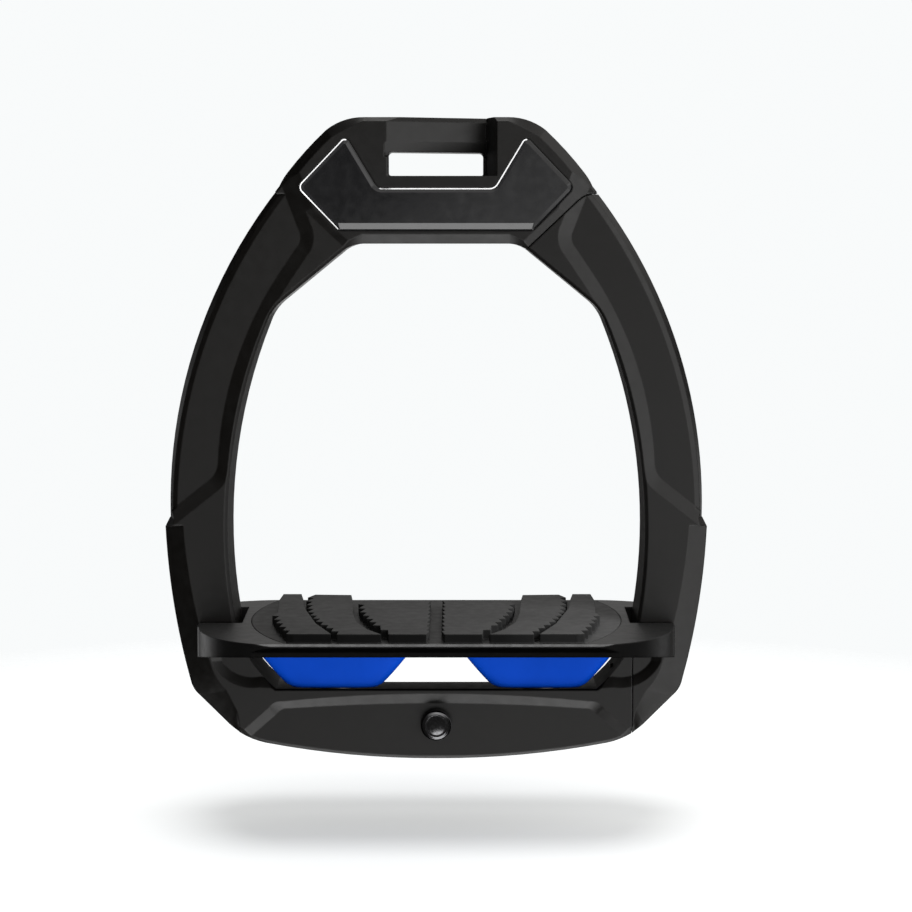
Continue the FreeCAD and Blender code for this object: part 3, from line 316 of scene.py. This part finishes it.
def make_world():
    """White backdrop for the camera; soft light from above, and a little from front and rear."""
    world = bpy.data.worlds.new("studio")
    world.use_nodes = True
    tree = world.node_tree
    coord = tree.nodes.new("ShaderNodeTexCoord")
    axes = tree.nodes.new("ShaderNodeSeparateXYZ")
    tree.links.new(coord.outputs["Generated"], axes.inputs["Vector"])

    def lobe(axis, low, high, strength):
        """Light that grows from nothing to its strength between two values of a direction's axis."""
        made = tree.nodes.new("ShaderNodeMapRange")
        made.interpolation_type = "SMOOTHSTEP"
        for name, number in (("From Min", low), ("From Max", high), ("To Min", 0.0), ("To Max", strength)):
            made.inputs[name].default_value = number
        tree.links.new(axes.outputs[axis], made.inputs["Value"])
        return made.outputs["Result"]

    def combine(operation, first, second):
        made = tree.nodes.new("ShaderNodeMath")
        made.operation = operation
        tree.links.new(first, made.inputs[0])
        tree.links.new(second, made.inputs[1])
        return made.outputs["Value"]

    above = combine("SUBTRACT", lobe("Z", 0.2, 0.55, 0.9), lobe("Z", 0.7, 1.0, 0.6))
    light = combine("MULTIPLY", above, lobe("X", -0.7, 0.05, 1.0))
    light = combine("ADD", light, lobe("Y", -0.2, -0.95, 0.03))
    light = combine("ADD", light, lobe("Y", 0.5, 1.0, 0.05))
    lit = tree.nodes["Background"]
    lit.inputs["Color"].default_value = (1.0, 0.985, 0.965, 1)
    tree.links.new(light, lit.inputs["Strength"])
    seen = tree.nodes.new("ShaderNodeBackground")
    seen.inputs["Color"].default_value = (*WHITE, 1)
    path = tree.nodes.new("ShaderNodeLightPath")
    choice = tree.nodes.new("ShaderNodeMixShader")
    tree.links.new(path.outputs["Is Camera Ray"], choice.inputs["Fac"])
    tree.links.new(lit.outputs["Background"], choice.inputs[1])
    tree.links.new(seen.outputs["Background"], choice.inputs[2])
    tree.links.new(choice.outputs["Shader"], tree.nodes["World Output"].inputs["Surface"])
    bpy.context.scene.world = world


def make_camera():
    """Camera in front of the iron, level with the leather slot and looking slightly down."""
    sensor_mm, lens_mm, tilt_down = 36.0, 90.98684, 5.35
    data = bpy.data.cameras.new("camera")
    data.sensor_width, data.lens = sensor_mm, lens_mm
    camera = bpy.data.objects.new("camera", data)
    bpy.context.scene.collection.objects.link(camera)
    camera.location = (0.0057, -0.667, -0.0215)
    camera.rotation_euler = (math.radians(90.0 - tilt_down), 0.0, 0.0)
    bpy.context.scene.camera = camera


# ---------------------------------------------------------------- lights
def group(name, objects):
    """Collection of objects that linked lights fall on."""
    made = bpy.data.collections.new(name)
    for obj in objects:
        made.objects.link(obj)
    return made


def linked_light(name, data, receivers):
    """Light that the camera doesn't see and that only falls on the pieces it is linked to."""
    light = bpy.data.objects.new(name, data)
    bpy.context.scene.collection.objects.link(light)
    light.visible_camera = False
    light.light_linking.receiver_collection = receivers
    return light


def soft_sun(name, towards, spread, brightness, receivers):
    """Broad distant light; spread is its diameter in degrees, and brightness is that of its disc."""
    data = bpy.data.lights.new(name, "SUN")
    data.angle = math.radians(spread)
    data.energy = brightness * math.pi * math.sin(data.angle / 2) ** 2
    light = linked_light(name, data, receivers)
    light.rotation_euler = Vector(towards).to_track_quat("Z", "Y").to_euler()


def strip_light(name, centre, angle, distance, size, power, receivers):
    """Rectangular light that faces a centre, at an angle about it in the XZ plane."""
    data = bpy.data.lights.new(name, "AREA")
    data.shape = "RECTANGLE"
    data.energy = power
    data.size, data.size_y = size
    light = linked_light(name, data, receivers)
    turn = math.radians(angle)
    offset = Vector((math.cos(turn), 0.0, math.sin(turn))) * distance
    facing = offset.to_track_quat("Z", "Y").to_matrix().to_4x4()
    light.matrix_world = Matrix.Translation(Vector(centre) + offset) @ facing
    return light


make_camera()
floor = make_floor()
make_world()

tread, grip = NODES["tread_plate"], NODES["grip_insert"]
polished = group("polished", [NODES["eye_inlay_front"], NODES["eye_inlay_rear"]])
shell = group("shell", [obj for obj in NODES.values() if obj not in (tread, grip)] + elastomers)
badge_only = group("badge", [badge])
blocks = group("blocks", elastomers)
tread_only = group("tread", [tread])
ground = group("ground", [floor])
grip_only = group("grip", [grip])

# name, direction towards the light, spread in degrees, brightness, receivers
SUNS = [
    ("from_right", (0.80, -0.60, 0.0), 64, 1.15, shell),
    ("from_front", (0.28, -1.0, -0.42), 56, 0.72, shell),
    ("from_below", (0.1, -0.3, -1.0), 64, 2.6, shell),
    ("inlay_bar", (0.0, -0.9, -0.45), 20, 4.2, polished),
    ("badge_glow", (0.1, -0.76, -0.65), 36, 1.6, badge_only),
    ("block_fill", (0.0, -1.0, 0.0), 60, 0.9, blocks),
    ("block_fill_rear", (0.0, 1.0, 0.0), 60, 0.9, blocks),
    ("from_rear_left", (-0.95, 0.30, -0.1), 36, 0.9, shell),
    ("from_rear_right", (0.70, 0.70, -0.2), 40, 0.5, shell),
    ("from_rear_below", (0.0, 1.0, -0.62), 44, 1.2, shell),
    ("tread_from_rear_left", (-0.8, 0.6, 0.0), 40, 0.9, tread_only),
    ("tread_from_right", (0.9, 0.4, 0.0), 40, 0.5, tread_only),
    ("tread_rim", (0.0, 0.1, 1.0), 26, 7.0, tread_only),
    ("onto_floor", (0.0, 0.0, 1.0), 30, 6.0, ground),
]
for sun in SUNS:
    soft_sun(*sun)

# strips round the eye that run a bright line along the inlays' polished edges
EYE_CENTRE, FIRST_ANGLE, LAST_ANGLE, ANGLE_STEP = (0.0, 0.0, -0.005), 88, 224, 17
for angle in range(FIRST_ANGLE, LAST_ANGLE + 1, ANGLE_STEP):
    strip_light("edge_light_%d" % angle, EYE_CENTRE, angle, distance=0.25, size=(0.13, 0.08), power=0.7,
                receivers=polished)
grip_light = strip_light("grip_from_right", (0.0, -0.05, -0.128), angle=25, distance=0.12,
                         size=(0.06, 0.04), power=0.6, receivers=grip_only)
grip_light.visible_glossy = False
bpy.context.scene.view_settings.view_transform = "Standard"
